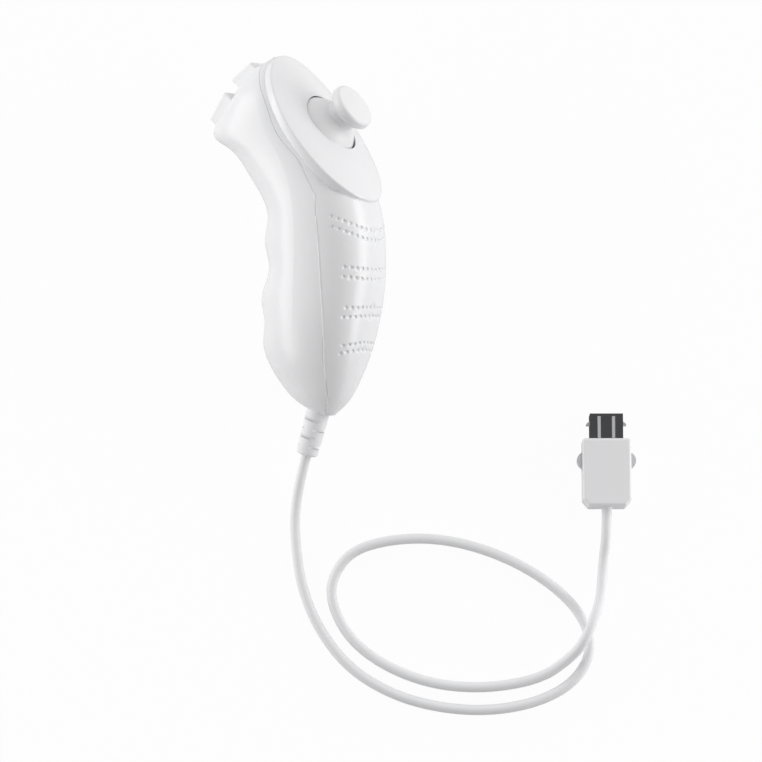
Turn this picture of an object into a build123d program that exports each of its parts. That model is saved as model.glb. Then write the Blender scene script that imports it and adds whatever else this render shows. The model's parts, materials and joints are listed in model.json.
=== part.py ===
from build123d import *
import os
from math import cos, hypot, radians, sin, tan

# A corded motion controller: a curved grip with a thumb stick on its face, two buttons on its nose,
# a ribbed strain relief, a cord that lies in a loop and a snap-in plug.
# The grip is drawn in its own frame: X forward to the stick's side, Y along the grip from tail to head,
# Z sideways. At the end it is rolled and pitched to the way it lies, on its side, on a flat surface.
# Millimetres and degrees.

# How the grip lies
lie_roll = 33.0
lie_pitch = 10.0

# Grip and head
handle_length = 73.97
handle_share = 0.65
head_to_face_share = 0.69876
body_reach = 40.0
body_half_width = 16.5
shell_wall = 2.2
shell_seam_gap = 0.12
cut_overrun = 6.0
cut_reach = 2 * body_reach

# Sections along the grip: place, back, front, widest place, half width,
# then how square the back and the front are across and along.
# The first is a share of the grip's length, of which handle_share is the handle and the rest the head,
# the next three are shares of body_reach and the fifth of body_half_width.
section_shares = [
    (0.005, -0.055, 0.080, 0.013, 0.121, 0.56, 0.56, 0.56, 0.56),
    (0.019, -0.115, 0.118, 0.003, 0.248, 0.56, 0.56, 0.58, 0.57),
    (0.053, -0.270, 0.205, -0.025, 0.473, 0.56, 0.56, 0.62, 0.59),
    (0.097, -0.385, 0.270, -0.050, 0.624, 0.56, 0.56, 0.66, 0.60),
    (0.145, -0.475, 0.325, -0.062, 0.764, 0.56, 0.56, 0.69, 0.61),
    (0.202, -0.525, 0.375, -0.065, 0.879, 0.56, 0.56, 0.71, 0.62),
    (0.265, -0.503, 0.417, -0.050, 0.958, 0.56, 0.56, 0.73, 0.62),
    (0.330, -0.532, 0.450, -0.035, 0.988, 0.56, 0.56, 0.74, 0.62),
    (0.409, -0.450, 0.469, -0.022, 1.000, 0.56, 0.56, 0.74, 0.62),
    (0.483, -0.492, 0.465, -0.020, 1.000, 0.58, 0.56, 0.74, 0.62),
    (0.554, -0.453, 0.438, -0.030, 0.994, 0.61, 0.58, 0.73, 0.62),
    (0.620, -0.532, 0.380, -0.065, 0.970, 0.66, 0.61, 0.71, 0.61),
    (0.685, -0.660, 0.280, -0.140, 0.939, 0.74, 0.66, 0.68, 0.61),
    (0.743, -0.812, 0.165, -0.240, 0.924, 0.80, 0.71, 0.66, 0.60),
    (0.782, -0.968, 0.080, -0.315, 0.921, 0.82, 0.72, 0.65, 0.60),
    (0.830, -0.895, -0.028, -0.375, 0.903, 0.81, 0.72, 0.63, 0.59),
    (0.888, -0.765, -0.155, -0.425, 0.818, 0.79, 0.70, 0.61, 0.59),
    (0.936, -0.675, -0.267, -0.445, 0.679, 0.76, 0.67, 0.59, 0.58),
    (0.972, -0.545, -0.355, -0.443, 0.491, 0.70, 0.63, 0.58, 0.58),
    (0.996, -0.450, -0.415, -0.432, 0.206, 0.60, 0.58, 0.56, 0.56),
]
hollow_first_row = 2
hollow_last_row = 18
wall_slope_limit_share = 1.9

# Seam between the shells, seen from the side: shares of body_reach and of the grip's length
seam_shares = [
    (0.030, -0.060), (0.030, 0.000), (0.115, 0.047), (0.160, 0.130), (0.205, 0.241), (0.207, 0.357),
    (0.190, 0.473), (0.168, 0.546), (0.145, 0.609), (0.090, 0.644), (-0.022, 0.707), (-0.092, 0.732),
    (-0.195, 0.771), (-0.312, 0.851), (-0.370, 0.888), (-0.425, 0.926), (-0.458, 0.965), (-0.500, 1.060),
]

# Face disc under the thumb stick
face_reach_share = 0.0781
face_above_handle = 18.50
face_forward = face_reach_share * body_reach
face_along = handle_length + face_above_handle
face_tilt = 35.0
face_half_width = 19.8
face_top_length = 28.35
face_low_length = 28.65
head_length = head_to_face_share * (face_top_length + face_low_length)
face_thickness = 3.0
face_rim_round = 0.7
face_profile_radius = 150.0
face_crown_radius = 48.0
gate_radius = 10.3
gate_land = 0.9

# Thumb stick, its pivot below the face and its axis above the forward direction
stick_tilt = 31.8
stick_pivot_depth = 8.5
stick_range = 17.0
dome_gap = 0.45
dome_wall = 1.2
dome_skirt_angle = 70.0
stalk_radius = 5.1
cap_radius = 7.6
cap_top_height = 10.2
cap_thickness = 4.5
cap_edge_round = 1.3
cap_crown = 0.5
cap_under_radius = 6.4
arc_middle_share = 0.2929

# Stick works
works_fit = 0.06
works_gap = 0.35
stem_radius = 2.0
stem_socket_gap = 0.05
stem_socket_end = 1.6
hub_half_length = 2.2
hub_half_width = 2.3
hub_half_height = 1.9
foot_radius = 1.8
foot_reach = 4.5
pin_radius = 1.05
yoke_window_half = 3.3
yoke_wall = 1.1
yoke_half_height = 2.0
axle_radius = 1.5
arch_inner_radius = 5.2
arch_thickness = 0.9
arch_rail = 1.0
arch_slot_gap = 0.22
arch_slot_margin_angle = 38.0
frame_inner_half = 6.4
frame_wall = 0.8
frame_top = 2.6
frame_floor_depth = 6.6
base_thickness = 1.4
sensor_thickness = 3.1
sensor_half_width = 3.8
sensor_top = 2.2
sensor_low = 5.4
wiper_radius = 2.4
wiper_thickness = 0.8
plunger_radius = 3.4
plunger_thickness = 0.9
plunger_gap = 0.08
spring_radius = 2.6
spring_wall = 0.7

# Circuit boards
board_thickness = 1.2
head_board_half_width = 8.8
post_radius = 2.0
head_board_top_share = 0.58201
head_board_low_share = 0.53752
head_board_top_reach = head_board_top_share * face_top_length
head_board_low_reach = head_board_low_share * face_low_length
head_post_reach = head_board_top_reach - post_radius
small_screw_radius = 0.8
small_screw_head_radius = 1.6
small_screw_head_height = 1.0
small_screw_depth = 5.0
main_board_forward_share = 0.075
main_board_start_share = 0.20954
main_board_end_share = 0.8179
main_board_forward = main_board_forward_share * body_reach
main_board_start = main_board_start_share * handle_length
main_board_end = main_board_end_share * handle_length
main_board_half_width = 8.8
main_board_first_inset = 3.5
main_board_last_inset = 6.5
main_board_post_first = main_board_start + main_board_first_inset
main_board_post_last = main_board_end - main_board_last_inset
main_board_post_side = 6.2
header_length = 5.0
header_half_width = 4.2
header_height = 3.6
header_inset = 0.2
chip_height = 1.4
# Chips: their places along and across the board, then their length, width and height
chip_table_shares = [
    (0.42, 0.00, 0.16, 0.74, 1.0), (0.64, -0.30, 0.09, 0.42, 0.8), (0.64, 0.36, 0.07, 0.32, 0.7),
    (0.28, 0.42, 0.05, 0.24, 0.9), (0.28, -0.46, 0.05, 0.20, 0.6), (0.78, 0.05, 0.04, 0.20, 0.6),
]
ribbon_thickness = 0.4
ribbon_low_side = 3.4
ribbon_high_side = 7.8

# Nose: the frame of the buttons, its place and the direction that they face
nose_reach_share = -0.6
nose_above_handle = 22.03
nose_forward = nose_reach_share * body_reach
nose_along = handle_length + nose_above_handle
nose_tilt = 40.8
button_gap = 0.3
button_edge_round = 0.7

# C button, in the nose's frame: along the nose and out of it
c_low = 2.4
c_high = 11.5
c_half_width = 5.2
c_low_out = 13.6
c_high_out = 11.4
c_travel = 1.0
c_flange_out = 5.7
c_flange_thickness = 1.0
c_flange_lip = 0.7
c_stem_radius = 2.0
dome_height_share = 3.0
dome_top_out = board_thickness + dome_height_share * c_travel
dome_foot_rise = 0.6
dome_foot_radius = 3.0
dome_crown_radius = 2.2
button_play = 0.05

# Z trigger, in the same frame
z_low = -11.1
z_high = -1.0
z_half_width = 7.5
z_low_out = 10.5
z_high_out = 11.8
z_under_out = 4.6
z_heel_out = 1.9
z_heel_high = -7.6
z_pin_out = 3.6
z_pin_along = -9.6
z_pin_radius = 0.8
z_pin_clearance = 0.05
z_turn = 5.5
z_top_gap = (z_high_out - z_pin_out) * sin(radians(z_turn)) + button_gap
lug_width = 2.2
lug_half_out = 1.8
lug_half_along = 1.6
z_dome_along = -4.4
c_dome_along = 6.6
button_board_low = -8.4
button_board_high = 11.6
button_board_half_width = 7.6
button_post_along = 1.4
button_post_side = 8.9
button_post_radius = 1.7
button_board_ear = 2.2

# Casing screws
casing_screw_place_shares = [0.3245, 0.8922]
casing_screw_places = [share * handle_length for share in casing_screw_place_shares]
casing_meet_share = -0.075
casing_meet_forward = casing_meet_share * body_reach
casing_post_radius = 2.8
casing_screw_radius = 1.15
casing_head_radius = 2.3
casing_head_height = 1.5
casing_well_radius = 2.6
casing_well_wall = 1.3
casing_screw_bite = 9.0
casing_cross_width = 0.7
casing_cross_depth = 0.8
casing_cross_reach_share = 0.6

# Cord, strain relief and its place at the tail
cord_radius = 1.6
boot_forward = -3.07
boot_along = 0.63
boot_lean = 18.0
boot_length = 13.0
boot_top_radius = 3.7
boot_end_radius = 3.4
boot_slot_count = 4
boot_slot_pitch = 2.85
boot_slot_height = 1.0
boot_slot_depth = 1.7
boot_slot_start = 0.9
boot_neck_length = 3.4
boot_collar_radius = 4.6
boot_collar_length = 1.6
boot_end_round = 0.9
lead_radius = 1.2
lead_gap = 0.3
lead_straight = 3.0
lead_bend = 2.2
first_run = 8.0
cord_bend_share = 0.45

# Plug: its place on the surface, then its own sizes
plug_side = 97.1
plug_along = -84.3
plug_width = 15.3
plug_length = 21.4
plug_height = 9.6
plug_wall = 1.3
plug_edge_round = 0.9
plug_corner_width = 1.9
plug_corner_length = 2.2
connector_width = 10.4
connector_height = 6.4
connector_length = 8.0
connector_inside = 3.2
connector_wall = 0.8
slot_left = -2.29
slot_right = 2.23
slot_width = 1.12
slot_start = 0.2
slot_end = 0.7
carrier_half_width = 2.6
carrier_recess = 0.7
tongue_half_height = 0.9
tongue_root = 2.4
contact_count = 3
contact_pitch = 1.6
contact_width = 0.9
contact_thickness = 0.15
strip_thickness = 0.5
arm_root_side = 4.95
arm_side = 5.6
arm_root_along = 4.0
arm_half_height = 1.2
arm_thickness = 1.2
arm_shoulder_along = 17.8
arm_inner_side = 3.95
arm_inner_thickness = 0.8
arm_end_along = 28.2
arm_eye_radius = 1.3
arm_pin_radius = 0.7
arm_pin_clearance = 0.05
arm_travel = 2.4
arm_gap = 0.35
nub_low = 12.0
nub_high = 17.5
nub_reach = 9.3
barb_along = 26.8
barb_half_length = 0.85
barb_rest = 0.15
barb_swing = (barb_along - arm_root_along) * sin(radians(arm_travel))
barb_reach = connector_width / 2 + barb_rest + barb_swing

# The cord's points on the surface: sideways, along, height
cord_points = [
    (-1.0, -86.0, 1.6), (-0.5, -97.5, 1.6), (1.5, -110.0, 1.6), (7.0, -123.0, 1.6), (16.5, -135.0, 1.6),
    (30.0, -143.0, 1.6), (44.5, -147.0, 1.6), (60.5, -148.0, 1.6), (76.0, -145.0, 1.6), (86.5, -139.0, 1.6),
    (91.5, -131.0, 1.6), (91.5, -123.0, 1.6), (86.0, -113.5, 1.6), (74.0, -104.0, 1.6), (59.0, -97.0, 1.6),
    (43.5, -93.5, 1.6), (29.0, -94.0, 1.6), (17.0, -97.5, 1.6), (11.0, -105.5, 1.6), (10.5, -114.0, 1.6),
    (16.0, -125.0, 1.6), (26.5, -133.5, 1.6), (41.5, -139.5, 1.6), (58.5, -141.0, 1.6), (76.0, -138.0, 1.6),
    (85.5, -131.5, 4.4), (89.5, -127.0, 8.0), (92.5, -120.0, 8.0), (95.0, -113.0, 4.4), (96.0, -101.0, 1.6),
]


def polygon_prism(points, half, axis_plane):
    """A prism on a plane, as deep each way as half."""
    face = make_face(Polyline(*points, close=True))
    return axis_plane * extrude(face, amount=half, both=True)


def block(x_low, x_high, y_low, y_high, z_low_face, z_high_face):
    """A box between its six faces."""
    middle = Pos((x_low + x_high) / 2, (y_low + y_high) / 2, (z_low_face + z_high_face) / 2)
    return middle * Box(x_high - x_low, y_high - y_low, z_high_face - z_low_face)


def post(radius, low, high):
    """A round post along its frame's Z, from low to high."""
    return Pos(0, 0, (low + high) / 2) * Cylinder(radius, high - low)


def revolved(points):
    """A solid turned about Z from an outline of distance and height."""
    outline = Polyline(*[(x, 0, z) for x, z in points], close=True)
    return revolve(make_face(outline), Axis.Z)


def grip_along(share):
    """The place along the grip of a share of its length: the handle first, then the head."""
    if share < handle_share:
        return share / handle_share * handle_length
    return handle_length + (share - handle_share) / (1 - handle_share) * head_length


def section(row, wall=0, back_slope=1, front_slope=1):
    """The grip's section at one row of the table, drawn in by a wall."""
    along, back, front, widest, half, back_across, back_deep, front_across, front_deep = row
    y = grip_along(along)
    x_back = back * body_reach + wall * back_slope
    x_front = front * body_reach - wall * front_slope
    x_wide = min(max(widest * body_reach, x_back + wall / 2), x_front - wall / 2)
    z = half * body_half_width - wall
    back_point = Vector(x_back, y, 0)
    front_point = Vector(x_front, y, 0)
    edges = []
    for side in (1, -1):
        wide_point = Vector(x_wide, y, side * z)
        edges.append(Bezier(
            back_point,
            back_point + Vector(0, 0, side * z * back_across),
            wide_point - Vector((x_wide - x_back) * back_deep, 0, 0),
            wide_point,
        ))
        edges.append(Bezier(
            wide_point,
            wide_point + Vector((x_front - x_wide) * front_deep, 0, 0),
            front_point + Vector(0, 0, side * z * front_across),
            front_point,
        ))
    return Wire(edges)


def slope(index, column):
    """How much longer a wall measures across a slanted stretch of the table."""
    before = section_shares[index - 1]
    after = section_shares[index + 1]
    rise = (after[column] - before[column]) * body_reach
    run = grip_along(after[0]) - grip_along(before[0])
    return min(hypot(1, rise / run), wall_slope_limit_share)


def make_core():
    """The grip's whole outer form."""
    return Solid.make_loft([section(row) for row in section_shares])


def make_hollow():
    """The room inside the grip."""
    wires = []
    for index in range(hollow_first_row, hollow_last_row):
        wires.append(section(section_shares[index], shell_wall, slope(index, 1), slope(index, 2)))
    return Solid.make_loft(wires, ruled=True)


def make_front_side(shift):
    """All that lies forward of the seam, moved forward by shift."""
    points = [(x * body_reach + shift, grip_along(y)) for x, y in seam_shares]
    seam = Spline(*points)
    far = Polyline(points[-1], (cut_reach, points[-1][1]), (cut_reach, points[0][1]), points[0])
    return extrude(make_face([seam, far]), amount=cut_reach, both=True)


face_normal = Vector(cos(radians(face_tilt)), sin(radians(face_tilt)), 0)
face_up = Vector(-sin(radians(face_tilt)), cos(radians(face_tilt)), 0)
face_centre = Vector(face_forward, face_along, 0)
face_plane = Plane(origin=face_centre, x_dir=face_up, z_dir=face_normal)

stick_axis = Vector(cos(radians(stick_tilt)), sin(radians(stick_tilt)), 0)
pivot = face_centre - stick_axis * stick_pivot_depth
works_plane = Plane(origin=pivot, x_dir=Vector(0, 0, 1), z_dir=stick_axis)

nose_out = Vector(-cos(radians(nose_tilt)), sin(radians(nose_tilt)), 0)
nose_up = Vector(sin(radians(nose_tilt)), cos(radians(nose_tilt)), 0)
nose_plane = Plane(origin=(nose_forward, nose_along, 0), x_dir=nose_up, z_dir=nose_out)

boot_down = Vector(-sin(radians(boot_lean)), -cos(radians(boot_lean)), 0)
boot_plane = Plane(origin=(boot_forward, boot_along, 0), x_dir=(0, 0, 1), z_dir=boot_down)

pocket_radius = hypot(gate_radius, stick_pivot_depth - gate_land)
dome_radius = pocket_radius - dome_gap
pocket_wall_thickness = 1.2
pocket_wall_low = -dome_wall - pocket_wall_thickness
pocket_wall_top = stick_pivot_depth - face_thickness


def barrel(depth):
    """The face's crowned form, as far inwards as depth."""
    radius = face_profile_radius - depth
    centre_z = -face_profile_radius
    half = face_low_length + cut_overrun
    drop = radius - (radius ** 2 - half ** 2) ** 0.5
    top = (0, 0, -depth)
    left = (-half, 0, -depth - drop)
    right = (half, 0, -depth - drop)
    axis_z = -face_crown_radius
    arc = ThreePointArc(left, top, right)
    sides = Polyline(right, (half, 0, axis_z), (-half, 0, axis_z), left)
    return revolve(make_face([arc, sides]), Axis((0, 0, axis_z), (1, 0, 0)))


def make_face_disc():
    """The egg-shaped disc that carries the gate."""
    upper = EllipticalCenterArc((0, 0), face_top_length, face_half_width, start_angle=-90, arc_size=180)
    lower = EllipticalCenterArc((0, 0), face_low_length, face_half_width, start_angle=90, arc_size=180)
    column = extrude(make_face([upper, lower]), amount=face_crown_radius / 2, both=True)
    disc = (column & barrel(0)) - barrel(face_thickness)
    rims = [edge for edge in disc.edges() if edge.length > face_half_width]
    return face_plane * fillet(rims, face_rim_round)


def along_stick(shape):
    """Places a shape of the stick's works."""
    return works_plane * shape


def turned_x(shape):
    """Turns a shape along Z to lie along X."""
    return Rot(0, 90, 0) * shape


def turned_y(shape):
    """Turns a shape along Z to lie along Y."""
    return Rot(-90, 0, 0) * shape


# Casing
core = make_core()
hollow = make_hollow()
front_side = make_front_side(0)
back_cutter = make_front_side(-shell_seam_gap)
face_disc = make_face_disc()
pocket = along_stick(Sphere(pocket_radius) - post(2 * pocket_radius, -2 * pocket_radius, -dome_wall))
gate = along_stick(post(gate_radius, 0, stick_pivot_depth + cut_overrun))
pocket_wall = along_stick(
    Sphere(pocket_radius + pocket_wall_thickness) & post(2 * pocket_radius, pocket_wall_low, pocket_wall_top))

button_room = nose_plane * block(
    c_low - c_flange_lip - 2 * button_gap, c_high + c_flange_lip + button_gap,
    -c_half_width - c_flange_lip - 2 * button_gap, c_half_width + c_flange_lip + 2 * button_gap,
    0, c_flange_out + button_play,
)

head_board_top = -frame_floor_depth - base_thickness
head_board_low = head_board_top - board_thickness


def head_posts():
    """Posts under the face that the head board is screwed to."""
    posts = []
    for reach in (-head_post_reach, head_board_low_reach - post_radius):
        posts.append(along_stick(Pos(0, reach, 0) * post(post_radius, head_board_top, stick_pivot_depth)))
    return posts


def main_board_posts():
    """Posts under the front of the grip that the main board is screwed to."""
    posts = []
    for along in (main_board_post_first, main_board_post_last):
        for side in (-main_board_post_side, main_board_post_side):
            place = Pos(main_board_forward + board_thickness, along, side)
            posts.append(place * turned_x(post(post_radius, 0, cut_reach / 2)))
    return posts


def casing_posts(forward):
    """Posts that the casing screws join, on the front or on the back."""
    posts = []
    for along in casing_screw_places:
        place = Pos(casing_meet_forward, along, 0)
        reach = cut_reach / 2
        low, high = (0, reach) if forward else (-reach, 0)
        posts.append(place * turned_x(post(casing_post_radius, low, high)))
    return posts


def screw_head_forward(along):
    """How far forward a casing screw's head sits, under the back's wall."""
    row = min(section_shares, key=lambda item: abs(grip_along(item[0]) - along))
    return row[1] * body_reach + shell_wall + casing_well_wall


def nose_wall_post(side):
    """A post under the nose that the button board is screwed to."""
    place = Pos(button_post_along, side * button_post_side, 0)
    return nose_plane * (place * post(button_post_radius, board_thickness, cut_reach / 4))


boot_hole = boot_plane * post(boot_top_radius, -boot_neck_length, cut_overrun)
boot_collar_room = boot_plane * (
    post(boot_collar_radius, -boot_neck_length - boot_collar_length, -boot_neck_length)
    + post(lead_radius + lead_gap, -boot_neck_length - boot_collar_length - cut_overrun, -boot_neck_length)
)


def make_front_shell():
    """The front half of the casing, with the face, the gate and its posts."""
    shell = (core & front_side) + face_disc + (pocket_wall & front_side)
    shell = shell - hollow
    for extra in head_posts() + main_board_posts() + casing_posts(True):
        shell = shell + (extra & hollow)
    shell = shell - pocket - gate
    for place in screw_holes_front():
        shell = shell - place
    return shell - boot_hole - boot_collar_room - button_room


def screw_holes_front():
    """Pilot holes of every screw that goes into the front shell."""
    holes = []
    for reach in (-head_post_reach, head_board_low_reach - post_radius):
        hole = post(small_screw_radius, head_board_top, head_board_top + small_screw_depth)
        holes.append(along_stick(Pos(0, reach, 0) * hole))
    for along in (main_board_post_first, main_board_post_last):
        for side in (-main_board_post_side, main_board_post_side):
            place = Pos(main_board_forward + board_thickness, along, side)
            holes.append(place * turned_x(post(small_screw_radius, 0, small_screw_depth)))
    for along in casing_screw_places:
        place = Pos(casing_meet_forward, along, 0)
        holes.append(place * turned_x(post(casing_screw_radius, 0, casing_screw_bite)))
    return holes


def button_openings():
    """The openings in the nose for the C button and the Z trigger."""
    reach = cut_reach / 4
    c_window = block(c_low - button_gap, c_high + button_gap,
                     -c_half_width - button_gap, c_half_width + button_gap, 0, reach)
    z_window = block(z_low - button_gap, z_high + z_top_gap,
                     -z_half_width - button_gap, z_half_width + button_gap, 0, reach)
    return [nose_plane * c_window, nose_plane * z_window]


def make_back_shell():
    """The back half of the casing, with the nose's openings, its posts and its lugs."""
    shell = core - back_cutter - hollow - face_disc
    for extra in casing_posts(False) + [nose_wall_post(-1), nose_wall_post(1)]:
        shell = shell + (extra & hollow)
    for side in (-1, 1):
        low = z_half_width + button_gap
        edges = sorted((side * low, side * (low + lug_width)))
        lug = block(z_pin_along - lug_half_along, z_pin_along + lug_half_along, edges[0], edges[1],
                    z_pin_out - lug_half_out, z_pin_out + cut_overrun)
        shell = shell + ((nose_plane * lug) & hollow)
    for opening in button_openings():
        shell = shell - opening
    shell = shell - nose_plane * (Pos(z_pin_along, 0, z_pin_out) * turned_y(pin_bar(z_pin_radius)))
    for side in (-1, 1):
        place = Pos(button_post_along, side * button_post_side, 0)
        hole = post(small_screw_radius, board_thickness, board_thickness + small_screw_depth)
        shell = shell - nose_plane * (place * hole)
    for along in casing_screw_places:
        head = screw_head_forward(along)
        well = Pos(head, along, 0) * turned_x(post(casing_well_radius, -cut_reach / 2, 0))
        hole = Pos(head, along, 0) * turned_x(post(casing_screw_radius, 0, casing_meet_forward - head))
        shell = shell - well - hole
    return shell - pocket - boot_hole - boot_collar_room - button_room


def pin_bar(radius):
    """The trigger's pin, between its two lugs."""
    half = z_half_width + button_gap + lug_width
    return Cylinder(radius, 2 * half)


def make_casing_screws():
    """Two cross-head screws that hold the shells together."""
    screws = []
    for along in casing_screw_places:
        head = screw_head_forward(along)
        cap = post(casing_head_radius, -casing_head_height, 0)
        shank = post(casing_screw_radius, 0, casing_meet_forward - head + casing_screw_bite)
        cross_top = -casing_head_height + casing_cross_depth
        cross_reach = casing_head_radius * casing_cross_reach_share
        bar = block(-cross_reach, cross_reach, -casing_cross_width / 2, casing_cross_width / 2,
                    -casing_head_height, cross_top)
        screw = cap + shank - bar - Rot(0, 0, 90) * bar
        screws.append(Pos(head, along, 0) * turned_x(screw))
    return Compound(children=screws)


# Thumb stick and its works, drawn about the pivot with Z along the stick
def make_thumb_stick():
    """The cap, the stalk and the dome that the thumb moves, with a socket for the stem."""
    cap_top = stick_pivot_depth + cap_top_height
    cap_low = cap_top - cap_thickness
    skirt = radians(dome_skirt_angle)
    outer_low = (dome_radius * sin(skirt), dome_radius * cos(skirt))
    inner = dome_radius - dome_wall
    inner_low = (inner * sin(skirt), inner * cos(skirt))
    half_skirt = skirt / 2
    lines = [
        Line((0, 0, inner), (0, 0, cap_top)),
        ThreePointArc((0, 0, cap_top),
                      ((cap_radius - cap_edge_round) / 2, 0, cap_top - cap_crown / 4),
                      (cap_radius - cap_edge_round, 0, cap_top - cap_crown)),
        ThreePointArc((cap_radius - cap_edge_round, 0, cap_top - cap_crown),
                      (cap_radius - cap_edge_round * arc_middle_share, 0,
                       cap_top - cap_crown - cap_edge_round * arc_middle_share),
                      (cap_radius, 0, cap_top - cap_crown - cap_edge_round)),
        Polyline((cap_radius, 0, cap_top - cap_crown - cap_edge_round),
                 (cap_radius, 0, cap_low + cap_edge_round),
                 (cap_under_radius, 0, cap_low),
                 (stalk_radius, 0, cap_low),
                 (stalk_radius, 0, (dome_radius ** 2 - stalk_radius ** 2) ** 0.5)),
        ThreePointArc((stalk_radius, 0, (dome_radius ** 2 - stalk_radius ** 2) ** 0.5),
                      (dome_radius * sin(half_skirt), 0, dome_radius * cos(half_skirt)),
                      (outer_low[0], 0, outer_low[1])),
        Line((outer_low[0], 0, outer_low[1]), (inner_low[0], 0, inner_low[1])),
        ThreePointArc((inner_low[0], 0, inner_low[1]),
                      (inner * sin(half_skirt), 0, inner * cos(half_skirt)),
                      (0, 0, inner)),
    ]
    stick = revolve(make_face(lines), Axis.Z)
    socket = post(stem_radius + stem_socket_gap, 0, cap_low + stem_socket_end)
    return along_stick(stick - socket)


def make_stick_stem():
    """The stem inside the stick, with its hub, foot and the pins that it turns on in the yoke."""
    cap_low = stick_pivot_depth + cap_top_height - cap_thickness
    hub = block(-hub_half_length, hub_half_length, -hub_half_width, hub_half_width,
                -hub_half_height, hub_half_height)
    stem = post(stem_radius, 0, cap_low + stem_socket_end)
    foot = post(foot_radius, -foot_reach + foot_radius, 0)
    ball = Pos(0, 0, -foot_reach + foot_radius) * Sphere(foot_radius)
    pins = turned_y(Cylinder(pin_radius, 2 * (yoke_side_inner() + yoke_wall)))
    return along_stick(hub + stem + foot + ball + pins)


def yoke_side_inner():
    """Half the yoke's window along the stem's pins."""
    return hub_half_width + works_gap / 2


def make_stick_yoke():
    """The yoke that tilts up and down, with its axles and its wiper."""
    side = yoke_side_inner()
    half_x = yoke_window_half + yoke_wall
    ring = block(-half_x, half_x, -side - yoke_wall, side + yoke_wall, -yoke_half_height, yoke_half_height)
    window = block(-yoke_window_half, yoke_window_half, -side, side, -yoke_half_height, yoke_half_height)
    ring = ring - window
    ring = ring - turned_y(Cylinder(pin_radius + works_fit, 4 * side))
    wall_out = frame_inner_half + frame_wall
    for direction in (-1, 1):
        reach = wall_out + works_gap + wiper_thickness if direction > 0 else wall_out
        low, high = sorted((direction * half_x, direction * reach))
        ring = ring + turned_x(post(axle_radius, low, high))
    wiper = turned_x(post(wiper_radius, wall_out + works_gap, wall_out + works_gap + wiper_thickness))
    return along_stick(ring + wiper)


def make_sensor_arch():
    """The slotted arch that follows the stem sideways, with its axles and its wiper."""
    outer = arch_inner_radius + arch_thickness
    slot_half = stem_radius + arch_slot_gap
    half_x = slot_half + arch_rail
    band = turned_x(Cylinder(outer, 2 * half_x)) - turned_x(Cylinder(arch_inner_radius, 2 * half_x))
    band = band & block(-half_x, half_x, -outer, outer, -axle_radius, outer)
    slot_reach = arch_inner_radius * sin(radians(stick_range + arch_slot_margin_angle))
    band = band - block(-slot_half, slot_half, -slot_reach, slot_reach, 0, outer)
    wall_out = frame_inner_half + frame_wall
    middle = arch_inner_radius + arch_thickness / 2
    for direction in (-1, 1):
        reach = wall_out + works_gap + wiper_thickness if direction > 0 else wall_out
        low, high = sorted((direction * middle, direction * reach))
        band = band + turned_y(post(axle_radius, low, high))
    wiper = turned_y(post(wiper_radius, wall_out + works_gap, wall_out + works_gap + wiper_thickness))
    return along_stick(band + wiper)


def make_stick_frame():
    """The square frame that carries the yoke and the arch."""
    outer = frame_inner_half + frame_wall
    frame = block(-outer, outer, -outer, outer, -frame_floor_depth, frame_top)
    frame = frame - block(-frame_inner_half, frame_inner_half, -frame_inner_half, frame_inner_half,
                          -frame_floor_depth, frame_top)
    bore = axle_radius + works_fit
    frame = frame - turned_x(Cylinder(bore, 3 * outer)) - turned_y(Cylinder(bore, 3 * outer))
    return along_stick(frame)


def make_stick_base():
    """The plate under the frame, with the spring's seat."""
    outer = frame_inner_half + frame_wall
    low = -frame_floor_depth - base_thickness
    return along_stick(block(-outer, outer, -outer, outer, low, -frame_floor_depth))


def make_sensor(turn):
    """A rotary sensor beside the frame, with room for its wiper."""
    outer = frame_inner_half + frame_wall
    body = block(outer, outer + sensor_thickness, -sensor_half_width, sensor_half_width,
                 -sensor_low, sensor_top)
    room = post(wiper_radius + works_gap, outer, outer + 2 * works_gap + wiper_thickness)
    room = turned_x(room)
    return along_stick(Rot(0, 0, turn) * (body - room))


def make_spring_plunger():
    """The plate that the spring presses on the stem's foot."""
    top = -foot_reach - plunger_gap
    return along_stick(post(plunger_radius, top - plunger_thickness, top))


def make_stick_spring():
    """The spring under the plunger, as the sleeve that its closed turns fill."""
    top = -foot_reach - plunger_gap - plunger_thickness
    bore = post(spring_radius - spring_wall, -frame_floor_depth, top)
    return along_stick(post(spring_radius, -frame_floor_depth, top) - bore)


def small_screw():
    """A small screw with its head down and its shank up."""
    screw = post(small_screw_head_radius, -small_screw_head_height, 0)
    return screw + post(small_screw_radius, 0, board_thickness + small_screw_depth)


def make_head_board():
    """The board under the stick's works."""
    board = block(-head_board_half_width, head_board_half_width,
                  -head_board_top_reach, head_board_low_reach, head_board_low, head_board_top)
    for reach in (-head_post_reach, head_board_low_reach - post_radius):
        board = board - Pos(0, reach, 0) * post(small_screw_radius, head_board_low, head_board_top)
    return along_stick(board)


def make_head_board_screws():
    """Screws that hold the head board to the front shell."""
    screws = []
    for reach in (-head_post_reach, head_board_low_reach - post_radius):
        screws.append(along_stick(Pos(0, reach, head_board_low) * small_screw()))
    return Compound(children=screws)


# Buttons, drawn on the nose with Z out of it and X along it
def make_c_button():
    """The upper button, with the flange that keeps it in."""
    outline = [(c_low, c_flange_out), (c_high, c_flange_out), (c_high, c_high_out), (c_low, c_low_out)]
    body = polygon_prism(outline, c_half_width, nose_side_local())
    tops = body.edges().filter_by(lambda edge: edge.center().Z > c_flange_out + shell_wall)
    body = fillet(tops, button_edge_round)
    flange_half = c_half_width + c_flange_lip + button_gap
    flange = block(c_low - c_flange_lip - button_gap, c_high + c_flange_lip, -flange_half, flange_half,
                   c_flange_out - c_flange_thickness, c_flange_out)
    stem = Pos(c_dome_along, 0, 0) * post(c_stem_radius, dome_top_out + button_play, c_flange_out)
    return nose_plane * (body + flange + stem)


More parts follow.
